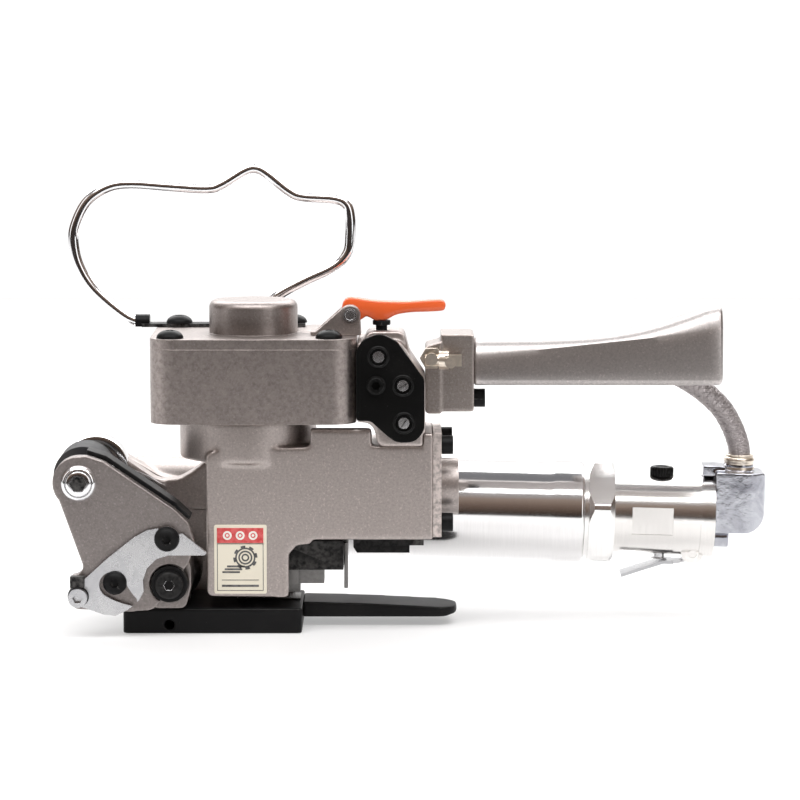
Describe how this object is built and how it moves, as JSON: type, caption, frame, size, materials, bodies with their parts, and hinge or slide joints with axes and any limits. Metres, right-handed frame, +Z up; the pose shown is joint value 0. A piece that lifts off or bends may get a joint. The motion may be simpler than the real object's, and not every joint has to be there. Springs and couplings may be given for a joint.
{
  "type": "strapping tensioner tool",
  "caption": "Hand-held pneumatic strap tensioner: swinging tension motor, friction-weld head, base foot, grip handle, wire bail and braided air hose.",
  "frame": {"origin": "on the underside of the base plate, below the weld motor's axis", "axes": "+X towards the handle end, +Z up, -Y the side with the hook plate and the label"},
  "size_m": [0.3746, 0.135, 0.2386],
  "materials": {
    "steel_black": "black oxide",
    "hard_steel": "hardened",
    "cast_alloy": "satin cast",
    "handle_block": "satin",
    "bright_steel": "ground",
    "chrome_wire": "polished",
    "polished_alloy": "polished",
    "zinc_plate": "bright zinc",
    "cast_chrome": "chromed casting",
    "throttle_alloy": "polished",
    "brass": "machined",
    "sleeve_bronze": "machined",
    "orange_plastic": "glossy orange",
    "label_film": "printed film",
    "roller_rubber": "moulded",
    "steel_braid": "braided",
    "screw_zinc": "zinc"
  },
  "bodies": {
    "tool_frame": {"base_plate": "steel_black", "foot_tongue": "steel_black", "lower_gripper": "hard_steel", "weld_anvil": "hard_steel", "main_casting": "cast_alloy", "top_housing": "cast_alloy", "top_cover": "cast_alloy", "cover_screws": "steel_black", "bail_bracket": "steel_black", "carry_bail": "chrome_wire", "lever_bracket": "bright_steel", "lever_pin": "bright_steel", "valve_block": "cast_alloy", "valve_cover": "steel_black", "valve_cover_screws": "screw_zinc", "handle_adapter": "handle_block", "handle_grip": "cast_alloy", "handle_bolt": "steel_black", "speed_valve": "brass", "cylinder_end_cap": "cast_alloy", "end_cap_screws": "steel_black", "press_spring": "bright_steel", "guide_rail": "steel_black", "rating_label": "label_film", "motor_sleeve": "sleeve_bronze", "torsion_spring": "bright_steel", "hose": "steel_braid"},
    "press_rod": {"press_piston": "bright_steel"},
    "weld_head": {"weld_carriage": "steel_black", "cutter_blade": "hard_steel"},
    "weld_shoe": {"weld_jaw": "hard_steel"},
    "weld_drive": {"weld_rotor": "bright_steel"},
    "lever": {"weld_lever": "orange_plastic"},
    "start_valve": {"weld_valve_plunger": "steel_black"},
    "roller": {"guide_roller": "roller_rubber"},
    "tension_unit": {"pivot_axle": "bright_steel", "side_plate": "cast_alloy", "side_plate_screws": "steel_black", "strap_guard": "steel_black", "shaft_bracket": "cast_alloy", "gearbox_case": "cast_alloy", "gearbox_cover": "cast_alloy", "motor_barrel": "polished_alloy", "ring_gear": "sleeve_bronze", "rotor_sleeve": "sleeve_bronze", "coupling_nut": "zinc_plate", "throttle_body": "throttle_alloy", "adjusting_knob": "steel_black", "inlet_elbow": "cast_chrome"},
    "feed_train": {"feed_wheel": "hard_steel", "feed_shaft": "bright_steel", "worm_wheel": "brass"},
    "worm_drive": {"worm_shaft": "bright_steel"},
    "planet_a": {"planet_gear_a": "brass"},
    "planet_b": {"planet_gear_b": "brass"},
    "planet_c": {"planet_gear_c": "brass"},
    "sun_drive": {"motor_rotor": "bright_steel"},
    "throttle_trigger": {"throttle_lever": "zinc_plate"},
    "throttle_valve": {"throttle_plunger": "bright_steel"},
    "hook": {"hook_plate": "zinc_plate"}
  },
  "joints": [
    {"name": "tension_swing", "type": "hinge", "parent": "tool_frame", "child": "tension_unit", "pos_m": [-0.0876, 0, 0.0794], "axis": [0, -1, 0], "range_deg": [0, 4], "stiffness_Nm_per_rad": 14, "springref_deg": -20.05, "deforming": ["hose", "torsion_spring"]},
    {"name": "feed_spin", "type": "hinge", "parent": "tension_unit", "child": "feed_train", "pos_m": [-0.0418, 0, 0.0273], "axis": [0, -1, 0], "continuous": true},
    {"name": "worm_spin", "type": "hinge", "parent": "tension_unit", "child": "worm_drive", "pos_m": [-0.04095, 0.052, 0.05679], "axis": [0.9996, 0, -0.0288], "continuous": true},
    {"name": "planet_a_spin", "type": "hinge", "parent": "worm_drive", "child": "planet_a", "pos_m": [0.04617, 0.052, 0.04227], "axis": [0.9996, 0, -0.0288], "continuous": true},
    {"name": "planet_b_spin", "type": "hinge", "parent": "worm_drive", "child": "planet_b", "pos_m": [0.04669, 0.06239, 0.06027], "axis": [0.9996, 0, -0.0288], "continuous": true},
    {"name": "planet_c_spin", "type": "hinge", "parent": "worm_drive", "child": "planet_c", "pos_m": [0.04669, 0.04161, 0.06027], "axis": [0.9996, 0, -0.0288], "continuous": true},
    {"name": "sun_spin", "type": "hinge", "parent": "tension_unit", "child": "sun_drive", "pos_m": [0.09899, 0.052, 0.05276], "axis": [0.9996, 0, -0.0288], "continuous": true},
    {"name": "roller_spin", "type": "hinge", "parent": "tension_unit", "child": "roller", "pos_m": [-0.0876, 0, 0.0794], "axis": [0, 1, 0], "continuous": true},
    {"name": "hook_swing", "type": "hinge", "parent": "tension_unit", "child": "hook", "pos_m": [-0.0427, -0.046, 0.0512], "axis": [0, 1, 0], "range_deg": [0, 14]},
    {"name": "throttle_squeeze", "type": "hinge", "parent": "tension_unit", "child": "throttle_trigger", "pos_m": [0.23238, 0.052, 0.02951], "axis": [0, 1, 0], "range_deg": [0, 5.5], "stiffness_Nm_per_rad": 0.2, "springref_deg": -17.19},
    {"name": "throttle_stroke", "type": "slide", "parent": "tension_unit", "child": "throttle_valve", "axis": [0.0288, 0, 0.9996], "range_m": [0, 0.0024]},
    {"name": "weld_spin", "type": "hinge", "parent": "tool_frame", "child": "weld_drive", "pos_m": [0, 0, 0.12], "axis": [0, 0, 1], "continuous": true},
    {"name": "press_stroke", "type": "slide", "parent": "tool_frame", "child": "press_rod", "axis": [-1, 0, 0], "range_m": [0, 0.009], "stiffness_N_per_m": 900, "springref_m": -0.006, "deforming": ["press_spring"]},
    {"name": "head_press", "type": "slide", "parent": "tool_frame", "child": "weld_head", "axis": [0, 0, -1], "range_m": [0, 0.0031]},
    {"name": "shoe_shake", "type": "slide", "parent": "weld_head", "child": "weld_shoe", "axis": [0, 1, 0], "range_m": [-0.001, 0.001]},
    {"name": "lever_push", "type": "hinge", "parent": "tool_frame", "child": "lever", "pos_m": [0.0504, -0.011, 0.163], "axis": [0, 1, 0], "range_deg": [0, 8], "stiffness_Nm_per_rad": 0.4, "springref_deg": -28.65},
    {"name": "valve_stroke", "type": "slide", "parent": "tool_frame", "child": "start_valve", "axis": [0, 0, -1], "range_m": [0, 0.0024]}
  ],
  "couplings": [
    {"joint": "worm_spin", "follows": "sun_spin", "ratio": 0.2},
    {"joint": "feed_spin", "follows": "sun_spin", "ratio": 0.0083333},
    {"joint": "planet_a_spin", "follows": "sun_spin", "ratio": -0.53333},
    {"joint": "planet_b_spin", "follows": "sun_spin", "ratio": -0.53333},
    {"joint": "planet_c_spin", "follows": "sun_spin", "ratio": -0.53333},
    {"joint": "throttle_stroke", "follows": "throttle_squeeze", "m_per_rad": 0.019},
    {"joint": "valve_stroke", "follows": "lever_push", "m_per_rad": 0.0155},
    {"joint": "head_press", "follows": "press_stroke", "ratio": 0.33333}
  ]
}
